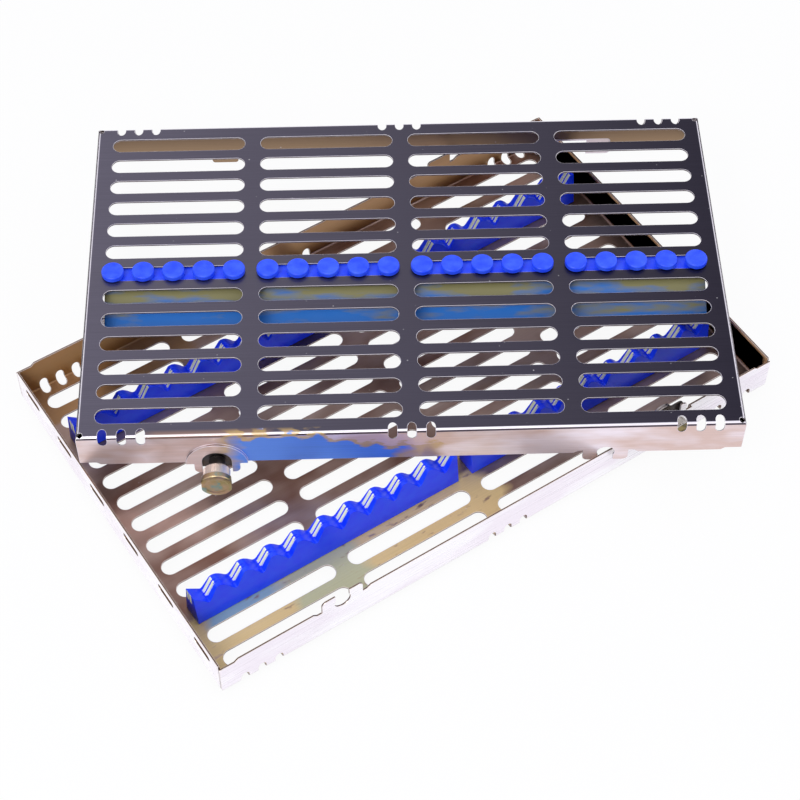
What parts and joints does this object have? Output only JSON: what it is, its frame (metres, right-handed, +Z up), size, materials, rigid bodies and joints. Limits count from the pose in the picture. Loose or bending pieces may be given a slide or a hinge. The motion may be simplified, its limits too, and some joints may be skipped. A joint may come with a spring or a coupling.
{
  "type": "dental instrument cassette",
  "caption": "Perforated stainless cassette for dental instruments: two equal pressed trays, quarter-turn locks, silicone racks and hold-down lips, lid resting skewed on the base.",
  "frame": {"origin": "on the surface the cassette stands on, below the middle of the lid, which is the middle of the whole footprint", "axes": "+X along the base's long side, -Y towards the base's front wall with its lock, +Z up"},
  "size_m": [0.3308, 0.2964, 0.0443],
  "materials": {
    "pressed stainless": "satin, electropolished",
    "turned stainless": "bright turned",
    "spring steel": "satin",
    "blue silicone": "satin"
  },
  "bodies": {
    "base": {"base_tray": "pressed stainless", "front_left_rack": "blue silicone", "front_right_rack": "blue silicone", "back_left_rack": "blue silicone", "back_right_rack": "blue silicone", "base_keeper": "spring steel"},
    "base_lock": {"base_knob": "turned stainless", "base_spindle": "spring steel", "base_washer": "spring steel", "base_ring": "spring steel"},
    "lid": {"lid_tray": "pressed stainless", "left_lip": "blue silicone", "right_lip": "blue silicone", "lid_keeper": "spring steel"},
    "lid_lock": {"lid_knob": "turned stainless", "lid_spindle": "spring steel", "lid_washer": "spring steel", "lid_ring": "spring steel"}
  },
  "joints": [
    {"name": "lid_lift", "type": "slide", "parent": "base", "child": "lid", "axis": [0, 0, 1], "range_m": [0, 0.1]},
    {"name": "base_lock_turn", "type": "hinge", "parent": "base", "child": "base_lock", "pos_m": [0.0568, -0.1181, 0.022], "axis": [0, -1, 0], "range_deg": [0, 90]},
    {"name": "lid_lock_turn", "type": "hinge", "parent": "lid", "child": "lid_lock", "pos_m": [-0.11615, -0.03203, 0.0223], "axis": [-0.5225, -0.8526, 0], "range_deg": [0, 90]}
  ]
}
